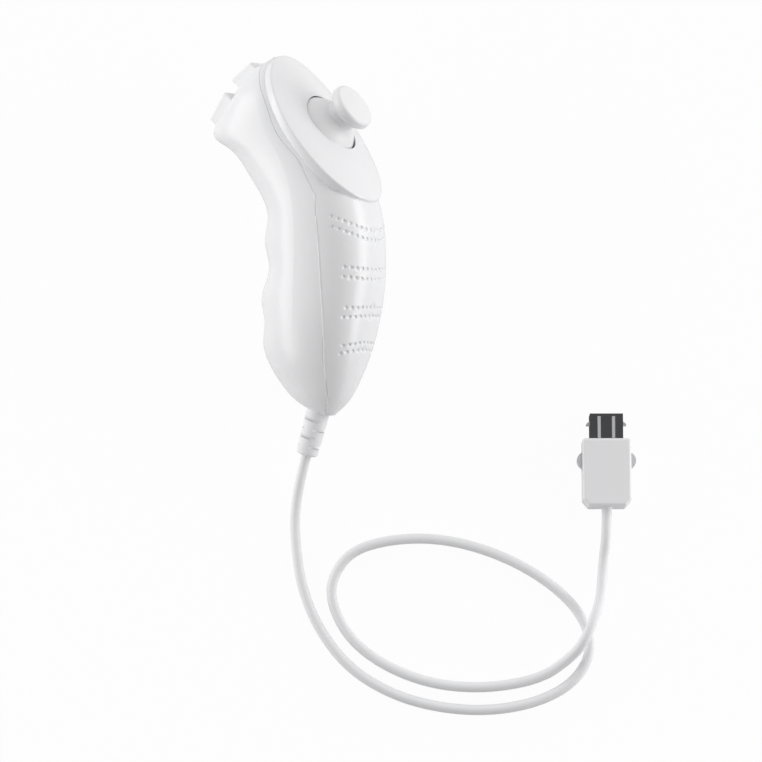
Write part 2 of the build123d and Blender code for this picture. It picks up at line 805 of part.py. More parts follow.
def nose_side_local():
    """The plane of an outline along the nose, with its height out of the nose."""
    return Plane(origin=(0, 0, 0), x_dir=(1, 0, 0), z_dir=(0, -1, 0))


def make_z_trigger():
    """The lower button, a trigger with its pin hole at its heel."""
    outline = [
        (z_low, z_heel_out), (z_heel_high, z_heel_out), (z_heel_high, z_under_out), (z_high, z_under_out),
        (z_high, z_high_out), (z_low, z_low_out),
    ]
    body = polygon_prism(outline, z_half_width, nose_side_local())
    tops = body.edges().filter_by(lambda edge: edge.center().Z > z_under_out + shell_wall)
    body = fillet(tops, button_edge_round)
    bore = turned_y(Cylinder(z_pin_radius + z_pin_clearance, 4 * z_half_width))
    return nose_plane * (body - Pos(z_pin_along, 0, z_pin_out) * bore)


def make_z_pivot_pin():
    """The pin that the trigger turns on."""
    return nose_plane * (Pos(z_pin_along, 0, z_pin_out) * turned_y(pin_bar(z_pin_radius)))


def make_rubber_dome(along):
    """A rubber dome on the button board."""
    shape = revolved([
        (0, board_thickness), (dome_foot_radius, board_thickness),
        (dome_foot_radius, board_thickness + dome_foot_rise),
        (dome_crown_radius, dome_top_out - dome_foot_rise), (dome_crown_radius, dome_top_out),
        (0, dome_top_out),
    ])
    return nose_plane * (Pos(along, 0, 0) * shape)


def make_button_board():
    """The board behind the buttons, with an ear at each side for its screws."""
    board = block(button_board_low, button_board_high, -button_board_half_width, button_board_half_width,
                  0, board_thickness)
    ear_half = button_post_side + button_post_radius
    board = board + block(button_post_along - button_board_ear, button_post_along + button_board_ear,
                          -ear_half, ear_half, 0, board_thickness)
    for side in (-1, 1):
        place = Pos(button_post_along, side * button_post_side, 0)
        board = board - place * post(small_screw_radius, 0, board_thickness)
    return nose_plane * board


def make_button_board_screws():
    """Screws that hold the button board to the back shell."""
    screws = []
    for side in (-1, 1):
        screws.append(nose_plane * (Pos(button_post_along, side * button_post_side, 0) * small_screw()))
    return Compound(children=screws)


# Main board and what is on it
def make_main_board():
    """The long board in the grip, with a hole that the lower casing post passes."""
    board = block(main_board_forward, main_board_forward + board_thickness, main_board_start, main_board_end,
                  -main_board_half_width, main_board_half_width)
    passage = Pos(main_board_forward, casing_screw_places[0], 0) * turned_x(
        Cylinder(casing_post_radius + button_gap, 4 * board_thickness))
    board = board - passage
    for along in (main_board_post_first, main_board_post_last):
        for side in (-main_board_post_side, main_board_post_side):
            hole = turned_x(post(small_screw_radius, 0, board_thickness))
            board = board - Pos(main_board_forward, along, side) * hole
    return board


def make_main_board_screws():
    """Screws that hold the main board to the front shell."""
    screws = []
    for along in (main_board_post_first, main_board_post_last):
        for side in (-main_board_post_side, main_board_post_side):
            screws.append(Pos(main_board_forward, along, side) * turned_x(small_screw()))
    return Compound(children=screws)




def make_board_chips():
    """Chips on the main board: the controller, the motion sensor and small parts."""
    length = main_board_end - main_board_start
    chips = []
    for along, side, long_share, wide_share, tall_share in chip_table_shares:
        y = main_board_start + along * length
        z = side * main_board_half_width
        half_y = long_share * length / 2
        half_z = wide_share * main_board_half_width / 2
        chips.append(block(main_board_forward - tall_share * chip_height, main_board_forward,
                           y - half_y, y + half_y, z - half_z, z + half_z))
    return Compound(children=chips)


def make_cable_header():
    """The socket that the cord's leads plug into."""
    low = main_board_start + header_inset
    return block(main_board_forward - header_height, main_board_forward, low, low + header_length,
                 -header_half_width, header_half_width)


def make_inner_cable():
    """The leads from the strain relief to the header."""
    start = boot_plane.origin - boot_down * (boot_neck_length + boot_collar_length)
    straight = start - boot_down * lead_straight
    forward = main_board_forward - header_height / 2
    end = Vector(forward, main_board_start + header_inset, 0)
    bend = Vector(forward, end.Y - lead_straight, 0)
    return tube([start, straight, bend, end], lead_radius, [lead_bend, lead_bend])


def tube(points, radius, radii):
    """A round tube along straight runs joined by tangent arcs."""
    path = FilletPolyline(*points, radius=radii)
    start = Plane(origin=points[0], z_dir=Vector(*points[1]) - Vector(*points[0]))
    return sweep(start * Circle(radius), path=path)


def ribbon(points):
    """A flat ribbon that follows points seen from the side."""
    strip = None
    half = ribbon_thickness / 2
    for first, second in zip(points, points[1:]):
        span = second - first
        length = span.length
        middle = (ribbon_low_side + ribbon_high_side) / 2
        plane = Plane(origin=first + Vector(0, 0, middle), x_dir=span, z_dir=(0, 0, 1))
        piece = plane * (Pos(length / 2, 0, 0) * Box(length + half, ribbon_thickness,
                                                      ribbon_high_side - ribbon_low_side))
        strip = piece if strip is None else strip + piece
    return strip


def works_point(reach, height):
    """A point of the stick's works seen from the side, as a place in the grip's frame."""
    return works_plane.from_local_coords(Vector(0, reach, height))


def make_head_ribbon():
    """The ribbon from the head board to the main board."""
    under = head_board_low - ribbon_thickness / 2
    low = main_board_forward - ribbon_thickness / 2
    return ribbon([
        works_point(head_board_low_reach - header_length, under),
        works_point(head_board_low_reach + board_thickness, under),
        Vector(low, main_board_end + post_radius, 0),
        Vector(low, main_board_end - header_height, 0),
    ])


def make_button_ribbon():
    """The ribbon from the button board to the head board."""
    under = head_board_low - ribbon_thickness / 2
    button_under = -ribbon_thickness / 2
    return ribbon([
        nose_plane.from_local_coords(Vector(button_post_along + header_length, 0, button_under)),
        nose_plane.from_local_coords(Vector(button_post_along + header_height / 2, 0, button_under)),
        works_point(-head_board_top_reach + post_radius, under),
        works_point(-head_board_top_reach + post_radius + header_length, under),
    ])


# Strain relief and cord
def make_cable_boot():
    """The tapered strain relief, slotted in turn across and along, with the collar that holds it."""
    neck_end = -boot_neck_length
    collar_end = neck_end - boot_collar_length
    boot = revolved([
        (0, collar_end), (boot_collar_radius, collar_end), (boot_collar_radius, neck_end),
        (boot_top_radius, neck_end), (boot_top_radius, 0), (boot_end_radius, boot_length), (0, boot_length),
    ])
    rim = boot.edges().group_by(Axis.Z)[-1]
    boot = fillet(rim, boot_end_round)
    for index in range(boot_slot_count):
        low = boot_slot_start + index * boot_slot_pitch
        radius = boot_top_radius - (boot_top_radius - boot_end_radius) * low / boot_length
        for side in (0, 180):
            slot = block(radius - boot_slot_depth, radius + boot_slot_depth, -radius, radius,
                         low, low + boot_slot_height)
            boot = boot - Rot(0, 0, side + 90 * (index % 2)) * slot
    return boot_plane * boot


def cord_route(mouth, way):
    """The cord's points from the strain relief's mouth to the plug."""
    start = [mouth, mouth + way * first_run]
    end = [
        Vector(plug_side, plug_along - first_run, plug_height / 2),
        Vector(plug_side, plug_along, plug_height / 2),
    ]
    return start + [Vector(*point) for point in cord_points] + end


def cord_radii(points):
    """The radius at each point of the route between its ends."""
    radii = []
    for before, point, after in zip(points, points[1:], points[2:]):
        first = point - before
        second = after - point
        turn = radians(first.get_angle(second))
        radii.append(cord_bend_share * min(first.length, second.length) / tan(turn / 2))
    return radii


def make_cord(mouth, way):
    """The cord as one tube, with its radii and its volume printed."""
    points = cord_route(mouth, way)
    radii = cord_radii(points)
    cord = tube(points, cord_radius, radii)
    path = FilletPolyline(*points, radius=radii)
    section_area = (Plane.XY * Circle(cord_radius)).area
    print("cord radii", [round(radius, 1) for radius in radii])
    print("cord runs", [round((b - a).length, 1) for a, b in zip(points, points[1:])])
    print("cord length", round(path.length, 1), "volume", round(cord.volume, 1),
          "section times length", round(section_area * path.length, 1))
    return cord


# Plug, drawn with X across, Y towards the connector and Z up, about the middle of its thickness
def mirrored(shape, side):
    """A shape of the plug's right side, or its mirror image on the left."""
    return shape if side > 0 else mirror(shape, about=Plane.YZ)


def plug_body():
    """The housing's outer form."""
    half = plug_width / 2
    outline = [
        (-half + plug_corner_width, 0), (half - plug_corner_width, 0), (half, plug_corner_length),
        (half, plug_length), (-half, plug_length), (-half, plug_corner_length),
    ]
    body = extrude(make_face(Polyline(*outline, close=True)), amount=plug_height / 2, both=True)
    return fillet(body.edges(), plug_edge_round)


def plug_room():
    """The room inside the housing, its front opening and the windows of the release nubs."""
    half = plug_width / 2 - plug_wall
    tall = plug_height / 2 - plug_wall
    room = block(-half, half, plug_corner_length, plug_length - plug_wall, -tall, tall)
    room = room + block(-connector_width / 2, connector_width / 2, plug_length - 2 * plug_wall,
                        plug_length + plug_wall, -connector_height / 2, connector_height / 2)
    window = arm_half_height + arm_gap
    return room + block(-plug_width, plug_width, nub_low - arm_gap, nub_high + arm_gap, -window, window)


def make_plug_cover(direction):
    """The upper or the lower half of the housing."""
    cover = plug_body() - plug_room()
    low, high = sorted((0, direction * plug_height))
    return cover & block(-plug_width, plug_width, -plug_width, plug_length + plug_wall, low, high)


def make_plug_shell():
    """The connector's sleeve, with its two slots and the windows of the latch arms."""
    start = plug_length - connector_inside
    end = plug_length + connector_length
    half = connector_width / 2
    tall = connector_height / 2
    wall = connector_wall
    sleeve = block(-half, half, start, end, -tall, tall)
    sleeve = sleeve - block(-half + wall, half - wall, start, end, -tall + wall, tall - wall)
    window = arm_half_height + arm_gap
    sleeve = sleeve - block(-half, half, start, arm_end_along + arm_gap, -window, window)
    for low in (slot_left, slot_right):
        sleeve = sleeve - block(low - slot_width / 2, low + slot_width / 2, plug_length + slot_start,
                                end - slot_end, 0, tall)
    return sleeve


def make_contact_carrier():
    """The insulator in the sleeve, with the tongue that carries the contacts."""
    start = plug_length - connector_inside
    tall = connector_height / 2 - connector_wall
    root = block(-carrier_half_width, carrier_half_width, start, plug_length + tongue_root, -tall, tall)
    tongue = block(-carrier_half_width, carrier_half_width, start, plug_length + connector_length - carrier_recess,
                   -tongue_half_height, tongue_half_height)
    return root + tongue


def make_plug_contacts():
    """Gold contacts above and below the tongue."""
    contacts = []
    low = plug_length + tongue_root
    high = plug_length + connector_length - 2 * carrier_recess
    for index in range(contact_count):
        middle = (index - (contact_count - 1) / 2) * contact_pitch
        for face in (-1, 1):
            faces = sorted((face * tongue_half_height, face * (tongue_half_height + contact_thickness)))
            contacts.append(block(middle - contact_width / 2, middle + contact_width / 2, low, high, *faces))
    return Compound(children=contacts)


def make_ground_springs():
    """The two springs that lie in the sleeve's slots."""
    tall = connector_height / 2 - connector_wall
    springs = []
    for low in (slot_left, slot_right):
        half = slot_width / 2 - works_fit
        springs.append(block(low - half, low + half, plug_length + slot_start + works_fit,
                             plug_length + connector_length - slot_end - works_fit, tall, tall + strip_thickness))
    return Compound(children=springs)


def make_latch_arm(side):
    """A latch arm, with its eye, its release nub and its barb."""
    inner = arm_side - arm_thickness / 2
    outer = arm_side + arm_thickness / 2
    tip = arm_inner_side + arm_inner_thickness
    shoulder = outer - tip
    outline = [
        (inner, arm_root_along), (outer, arm_root_along), (outer, arm_shoulder_along),
        (tip, arm_shoulder_along + shoulder), (tip, barb_along - barb_half_length),
        (barb_reach, barb_along - barb_half_length), (barb_reach, barb_along - barb_half_length / 2),
        (tip, barb_along + barb_half_length), (tip, arm_end_along), (arm_inner_side, arm_end_along),
        (arm_inner_side, arm_shoulder_along + arm_inner_thickness),
        (inner, arm_shoulder_along - arm_inner_thickness),
    ]
    arm = extrude(make_face(Polyline(*outline, close=True)), amount=arm_half_height, both=True)
    middle = (nub_low + nub_high) / 2
    nub_root = outer + arm_gap
    nub = make_face([
        Polyline((nub_root, nub_low), (inner, nub_low), (inner, nub_high), (nub_root, nub_high)),
        ThreePointArc((nub_root, nub_high), (nub_reach, middle), (nub_root, nub_low)),
    ])
    arm = arm + extrude(nub, amount=arm_half_height, both=True)
    eye = Pos(arm_root_side, arm_root_along, 0)
    arm = arm + eye * Cylinder(arm_eye_radius, 2 * arm_half_height)
    arm = arm - eye * Cylinder(arm_pin_radius + arm_pin_clearance, plug_height)
    return mirrored(arm, side)


def make_latch_pins():
    """The pins that the latch arms turn on."""
    pins = []
    for side in (-1, 1):
        length = plug_height - 2 * plug_wall
        pins.append(Pos(side * arm_root_side, arm_root_along, 0) * Cylinder(arm_pin_radius, length))
    return Compound(children=pins)


def grip_pieces():
    """Every piece of the controller, in the grip's own frame."""
    return {
        "front_shell": make_front_shell(),
        "back_shell": make_back_shell(),
        "casing_screws": make_casing_screws(),
        "thumb_stick": make_thumb_stick(),
        "stick_stem": make_stick_stem(),
        "stick_yoke": make_stick_yoke(),
        "sensor_arch": make_sensor_arch(),
        "stick_frame": make_stick_frame(),
        "stick_base": make_stick_base(),
        "potentiometer_x": make_sensor(0),
        "potentiometer_y": make_sensor(90),
        "spring_plunger": make_spring_plunger(),
        "stick_spring": make_stick_spring(),
        "head_board": make_head_board(),
        "head_board_screws": make_head_board_screws(),
        "c_button": make_c_button(),
        "z_trigger": make_z_trigger(),
        "z_pivot_pin": make_z_pivot_pin(),
        "c_rubber_dome": make_rubber_dome(c_dome_along),
        "z_rubber_dome": make_rubber_dome(z_dome_along),
        "button_board": make_button_board(),
        "button_board_screws": make_button_board_screws(),
        "main_board": make_main_board(),
        "main_board_screws": make_main_board_screws(),
        "board_chips": make_board_chips(),
        "cable_header": make_cable_header(),
        "inner_cable": make_inner_cable(),
        "head_ribbon": make_head_ribbon(),
        "button_ribbon": make_button_ribbon(),
        "cable_boot": make_cable_boot(),
    }


def plug_pieces():
    """Every piece of the plug, in the plug's own frame."""
    return {
        "plug_top_cover": make_plug_cover(1),
        "plug_bottom_cover": make_plug_cover(-1),
        "plug_shell": make_plug_shell(),
        "contact_carrier": make_contact_carrier(),
        "plug_contacts": make_plug_contacts(),
        "ground_springs": make_ground_springs(),
        "latch_arm_left": make_latch_arm(-1),
        "latch_arm_right": make_latch_arm(1),
        "latch_pins": make_latch_pins(),
    }


def lying(pieces):
    """How the grip is turned and moved, so that it lies on the surface with its box about the origin."""
    turn = Rot(lie_pitch, 0, 0) * Rot(0, -lie_roll, 0)
    boxes = [(turn * shape).bounding_box() for name, shape in pieces.items() if name != "cable_boot"]
    low = [min(getattr(box.min, axis) for box in boxes) for axis in "XYZ"]
    high = [max(getattr(box.max, axis) for box in boxes) for axis in "XYZ"]
    return Pos(-(low[0] + high[0]) / 2, -(low[1] + high[1]) / 2, -low[2]) * turn


def moved(place, point):
    """A point after a placement."""
    return (place * Pos(*point)).position


pieces = grip_pieces()
lie = lying(pieces)
parts = {name: lie * shape for name, shape in pieces.items()}
plug_place = Pos(plug_side, plug_along, plug_height / 2)
for name, shape in plug_pieces().items():
    parts[name] = plug_place * shape
boot_mouth = moved(lie, boot_plane.origin + boot_down * boot_length)
boot_way = (moved(lie, boot_plane.origin + boot_down) - moved(lie, boot_plane.origin)).normalized()
parts["cord"] = make_cord(boot_mouth, boot_way)

os.makedirs("parts", exist_ok=True)
for name, shape in parts.items():
    export_step(shape, os.path.join("parts", name + ".step"))
print("grip placed at", lie.position, "cord leaves at", boot_mouth, "along", boot_way)
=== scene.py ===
"""A corded motion controller: a curved grip on its side, with its thumb stick, cord and plug."""

import json
import logging
import math
from dataclasses import dataclass
from enum import Enum

import bmesh
import bpy
from mathutils import Matrix, Vector
from mathutils.bvhtree import BVHTree

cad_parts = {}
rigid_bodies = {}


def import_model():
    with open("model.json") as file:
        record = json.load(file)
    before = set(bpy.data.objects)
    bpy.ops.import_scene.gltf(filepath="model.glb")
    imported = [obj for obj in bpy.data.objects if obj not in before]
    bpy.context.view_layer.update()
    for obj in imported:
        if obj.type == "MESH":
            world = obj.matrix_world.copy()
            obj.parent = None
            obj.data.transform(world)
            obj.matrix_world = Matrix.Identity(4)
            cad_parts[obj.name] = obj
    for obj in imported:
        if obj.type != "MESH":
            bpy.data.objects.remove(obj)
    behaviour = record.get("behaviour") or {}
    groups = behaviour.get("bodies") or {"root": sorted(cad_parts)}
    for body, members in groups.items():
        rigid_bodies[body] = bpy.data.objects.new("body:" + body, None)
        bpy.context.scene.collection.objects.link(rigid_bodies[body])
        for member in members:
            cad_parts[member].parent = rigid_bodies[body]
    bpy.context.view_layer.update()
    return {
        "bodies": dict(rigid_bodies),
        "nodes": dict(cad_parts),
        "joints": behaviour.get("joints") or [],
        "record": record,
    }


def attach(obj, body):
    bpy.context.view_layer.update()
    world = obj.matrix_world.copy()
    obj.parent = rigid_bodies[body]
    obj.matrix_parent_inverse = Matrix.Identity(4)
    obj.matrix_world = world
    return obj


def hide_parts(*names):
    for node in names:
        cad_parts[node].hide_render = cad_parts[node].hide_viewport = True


LOG = logging.getLogger("motion_controller")
MM = 0.001
MERGE_DISTANCE = 1e-6

# How every finish is worked, apart from the sizes and colours that it names itself.
COAT_ROUGHNESS = 0.12
UNDER_LIGHT_WEIGHT = 0.12
UNDER_LIGHT_REACH = (1.0, 0.9, 0.8)
NOISE_LOW, NOISE_HIGH = 0.3, 0.7
MOTTLE_GRAINS, MOTTLE_LAYERS = 14.0, 3.0
WEAR_GRAINS, WEAR_LAYERS = 25.0, 4.0
WEAR_LOW, WEAR_HIGH = 0.88, 1.12
GRAIN_LAYERS = 2.0
BRUSH_STRETCH = (1.0, 1.0, 14.0)
TRACK_SCALE, TRACK_GAP = 0.12, 0.06
TRACK_GAIN, TRACK_LIFT = 1.9, 0.02


class Pattern(Enum):
    """What a finish has besides its colour and gloss."""

    MOULDED = "fine moulded grain"
    BRUSHED = "brushed lines"
    BOARD = "tracks under a lacquer"


@dataclass(frozen=True)
class Finish:
    """One material, made from nodes that read the piece's own coordinates.

    Args:
        name: the material's name, which is also the record's slot.
        colour: linear red, green and blue.
        roughness: how matte the surface is.
        pattern: the kind of detail on it.
        grain: size of the detail in metres.
        relief: height of the detail in metres.
        mottle: how far the colour varies, as a share.
        metallic: 1 for metal.
        coat: weight of a clear gloss over the surface.
        depth: how far light runs under the surface, in metres.
    """

    name: str
    colour: tuple[float, float, float]
    roughness: float
    pattern: Pattern = Pattern.MOULDED
    grain: float = 0.0006
    relief: float = 0.000012
    mottle: float = 0.02
    metallic: float = 0.0
    coat: float = 0.0
    depth: float = 0.0

    def make(self) -> bpy.types.Material:
        """Makes the material, or returns it if it's there.

        Returns:
            The material with its nodes.
        """
        made = bpy.data.materials.get(self.name)
        if made is not None:
            return made
        made = bpy.data.materials.new(self.name)
        made.use_nodes = True
        tree = made.node_tree
        shader = tree.nodes["Principled BSDF"]
        shader.inputs["Metallic"].default_value = self.metallic
        shader.inputs["Coat Weight"].default_value = self.coat
        shader.inputs["Coat Roughness"].default_value = COAT_ROUGHNESS
        if self.depth:
            shader.inputs["Subsurface Weight"].default_value = UNDER_LIGHT_WEIGHT
            shader.inputs["Subsurface Radius"].default_value = UNDER_LIGHT_REACH
            shader.inputs["Subsurface Scale"].default_value = self.depth
        place = tree.nodes.new("ShaderNodeTexCoord").outputs["Object"]
        self._colour(tree, shader, place)
        self._gloss(tree, shader, place)
        self._relief(tree, shader, place)
        return made

    def _noise(
        self, tree: bpy.types.NodeTree, place: bpy.types.NodeSocket, size: float, detail: float
    ) -> bpy.types.NodeSocket:
        """A soft noise.

        Args:
            tree: the material's nodes.
            place: coordinates to read.
            size: size of a blotch in metres.
            detail: how many finer layers it has.

        Returns:
            The socket of its value.
        """
        noise = tree.nodes.new("ShaderNodeTexNoise")
        noise.inputs["Scale"].default_value = 1.0 / size
        noise.inputs["Detail"].default_value = detail
        tree.links.new(place, noise.inputs["Vector"])
        return noise.outputs["Fac"]

    def _ramp(
        self, tree: bpy.types.NodeTree, source: bpy.types.NodeSocket, low: float, high: float
    ) -> bpy.types.NodeSocket:
        """Spreads a value between two numbers.

        Args:
            tree: the material's nodes.
            source: a noise, whose values lie round the middle of NOISE_LOW and NOISE_HIGH.
            low: what NOISE_LOW becomes.
            high: what NOISE_HIGH becomes.

        Returns:
            The socket of the result.
        """
        ramp = tree.nodes.new("ShaderNodeMapRange")
        ramp.inputs["From Min"].default_value = NOISE_LOW
        ramp.inputs["From Max"].default_value = NOISE_HIGH
        ramp.inputs["To Min"].default_value = low
        ramp.inputs["To Max"].default_value = high
        tree.links.new(source, ramp.inputs["Value"])
        return ramp.outputs["Result"]

    def _colour(
        self, tree: bpy.types.NodeTree, shader: bpy.types.Node, place: bpy.types.NodeSocket
    ) -> None:
        """Gives the surface its colour with its mottling or its tracks.

        Args:
            tree: the material's nodes.
            shader: the node that the colour goes to.
            place: coordinates to read.
        """
        mix = tree.nodes.new("ShaderNodeMix")
        mix.data_type = "RGBA"
        dull = tuple(c * (1.0 - self.mottle) for c in self.colour)
        mix.inputs["A"].default_value = (*self.colour, 1.0)
        mix.inputs["B"].default_value = (*dull, 1.0)
        blotches = self._noise(tree, place, self.grain * MOTTLE_GRAINS, MOTTLE_LAYERS)
        share = self._ramp(tree, blotches, 0.0, 1.0)
        if self.pattern is Pattern.BOARD:
            tracks = tree.nodes.new("ShaderNodeTexBrick")
            tracks.inputs["Scale"].default_value = TRACK_SCALE / self.grain
            tracks.inputs["Mortar Size"].default_value = TRACK_GAP
            tree.links.new(place, tracks.inputs["Vector"])
            bright = tuple(c * TRACK_GAIN + TRACK_LIFT for c in self.colour)
            mix.inputs["B"].default_value = (*bright, 1.0)
            share = tracks.outputs["Fac"]
        tree.links.new(share, mix.inputs["Factor"])
        tree.links.new(mix.outputs["Result"], shader.inputs["Base Color"])

    def _gloss(
        self, tree: bpy.types.NodeTree, shader: bpy.types.Node, place: bpy.types.NodeSocket
    ) -> None:
        """Varies the roughness a little, as handling does.

        Args:
            tree: the material's nodes.
            shader: the node that the roughness goes to.
            place: coordinates to read.
        """
        worn = self._noise(tree, place, self.grain * WEAR_GRAINS, WEAR_LAYERS)
        smooth, matte = self.roughness * WEAR_LOW, min(1.0, self.roughness * WEAR_HIGH)
        rough = self._ramp(tree, worn, smooth, matte)
        tree.links.new(rough, shader.inputs["Roughness"])

    def _relief(
        self, tree: bpy.types.NodeTree, shader: bpy.types.Node, place: bpy.types.NodeSocket
    ) -> None:
        """Raises the fine grain or brushing of the surface.

        Args:
            tree: the material's nodes.
            shader: the node that the relief goes to.
            place: coordinates to read.
        """
        source = place
        if self.pattern is Pattern.BRUSHED:
            stretch = tree.nodes.new("ShaderNodeMapping")
            stretch.inputs["Scale"].default_value = BRUSH_STRETCH
            tree.links.new(place, stretch.inputs["Vector"])
            source = stretch.outputs["Vector"]
        height = self._noise(tree, source, self.grain, GRAIN_LAYERS)
        bump = tree.nodes.new("ShaderNodeBump")
        bump.inputs["Distance"].default_value = self.relief
        bump.inputs["Strength"].default_value = 1.0
        tree.links.new(height, bump.inputs["Height"])
        tree.links.new(bump.outputs["Normal"], shader.inputs["Normal"])


SHELL_WHITE = Finish("white_shell", (0.86, 0.86, 0.865), 0.36, depth=0.0006)
STICK_WHITE = Finish("stick_white", (0.85, 0.85, 0.855), 0.45, relief=0.00002)
BUTTON_WHITE = Finish("button_white", (0.85, 0.85, 0.855), 0.34)
CORD_WHITE = Finish("cord_white", (0.94, 0.94, 0.94), 0.55, relief=0.00001)
PLUG_WHITE = Finish("plug_white", (0.92, 0.92, 0.92), 0.38)
CONNECTOR_DARK = Finish("connector_dark", (0.1, 0.1, 0.105), 0.42, relief=0.00001)
CONTACT_GOLD = Finish("contact_gold", (0.83, 0.62, 0.27), 0.25, Pattern.BRUSHED, metallic=1.0)
LATCH_GREY = Finish("latch_grey", (0.5, 0.5, 0.5), 0.4)
SCREW_STEEL = Finish("screw_steel", (0.58, 0.58, 0.6), 0.32, Pattern.BRUSHED, metallic=1.0)
WORKS_METAL = Finish("works_metal", (0.84, 0.84, 0.85), 0.4, Pattern.BRUSHED, metallic=0.35)
WORKS_PLASTIC = Finish("works_plastic", (0.78, 0.78, 0.76), 0.5)
SENSOR_GREEN = Finish("sensor_green", (0.1, 0.28, 0.18), 0.5)
BOARD_GREEN = Finish("board_green", (0.03, 0.2, 0.08), 0.35, Pattern.BOARD, coat=0.3)
CHIP_BLACK = Finish("chip_black", (0.02, 0.02, 0.021), 0.5)
DOME_RUBBER = Finish("dome_rubber", (0.5, 0.5, 0.5), 0.7)
RIBBON_GREY = Finish("ribbon_grey", (0.62, 0.62, 0.64), 0.5)

NODE_FINISHES: dict[Finish, tuple[str, ...]] = {
    SHELL_WHITE: ("front_shell", "back_shell"),
    STICK_WHITE: ("thumb_stick",),
    BUTTON_WHITE: ("c_button", "z_trigger"),
    CORD_WHITE: ("cable_boot", "cord", "inner_cable"),
    PLUG_WHITE: ("plug_top_cover", "plug_bottom_cover"),
    CONNECTOR_DARK: ("plug_shell", "contact_carrier"),
    CONTACT_GOLD: ("plug_contacts",),
    LATCH_GREY: ("latch_arm_left", "latch_arm_right"),
    SCREW_STEEL: (
        "casing_screws", "stick_spring", "head_board_screws", "z_pivot_pin", "button_board_screws",
        "main_board_screws", "latch_pins",
    ),
    WORKS_METAL: ("stick_frame", "ground_springs"),
    WORKS_PLASTIC: (
        "stick_stem", "stick_yoke", "sensor_arch", "stick_base", "spring_plunger", "cable_header",
    ),
    SENSOR_GREEN: ("potentiometer_x", "potentiometer_y"),
    BOARD_GREEN: ("head_board", "button_board", "main_board"),
    CHIP_BLACK: ("board_chips",),
    DOME_RUBBER: ("c_rubber_dome", "z_rubber_dome"),
    RIBBON_GREY: ("head_ribbon", "button_ribbon"),
}


def dress(piece: bpy.types.Object, finish: Finish) -> None:
    """Gives all of a piece one finish.

    Args:
        piece: a mesh or curve object.
        finish: its finish.
    """
    material = finish.make()
    if not piece.material_slots:
        piece.data.materials.append(material)
    for place in piece.material_slots:
        place.material = material


def stand_for(piece: bpy.types.Object, body: str, finish: Finish, *nodes: str) -> None:
    """Puts a finished piece on its body, with its finish, in place of CAD nodes.

    Args:
        piece: the piece, in its place.
        body: the CAD body that it moves with.
        finish: its finish.
        nodes: the CAD nodes that it replaces, if any.
    """
    dress(piece, finish)
    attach(piece, body)
    if nodes:
        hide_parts(*nodes)
    LOG.info("%s rides on %s", piece.name, body)


@dataclass
class GripFrame:
    """The grip's own frame: X forward, Y from tail to head and Z sideways, as it lies.

    Args:
        roll: how far it lies rolled on its side, in degrees.
        pitch: how far its head is raised, in degrees.
        place: where its origin lies, in metres.
    """

    roll: float = 33.0
    pitch: float = 10.0
    place: tuple[float, float, float] = (0.0088027, -0.0569756, 0.0129939)

    def matrix(self) -> Matrix:
        """The way from the grip's own frame to the frame that the whole object lies in."""
        turn = Matrix.Rotation(math.radians(self.pitch), 4, "X")
        turn = turn @ Matrix.Rotation(math.radians(-self.roll), 4, "Y")
        return Matrix.Translation(self.place) @ turn

    def point(self, forward: float, along: float, side: float) -> Vector:
        """A point of the grip, given in millimetres, as it lies."""
        return self.matrix() @ Vector((forward * MM, along * MM, side * MM))

    def way(self, forward: float, along: float, side: float) -> Vector:
        """A direction of the grip, as it lies."""
        return self.matrix().to_3x3() @ Vector((forward, along, side))


def surface_of(*nodes: bpy.types.Object) -> BVHTree:
    """The surfaces of CAD nodes, ready to be met by rays.

    Args:
        nodes: objects that sit at the origin.

    Returns:
        A tree of their faces.
    """
    points: list[Vector] = []
    faces: list[tuple[int, ...]] = []
    for node in nodes:
        first = len(points)
        points += [v.co.copy() for v in node.data.vertices]
        faces += [tuple(first + i for i in p.vertices) for p in node.data.polygons]
    return BVHTree.FromPolygons(points, faces)


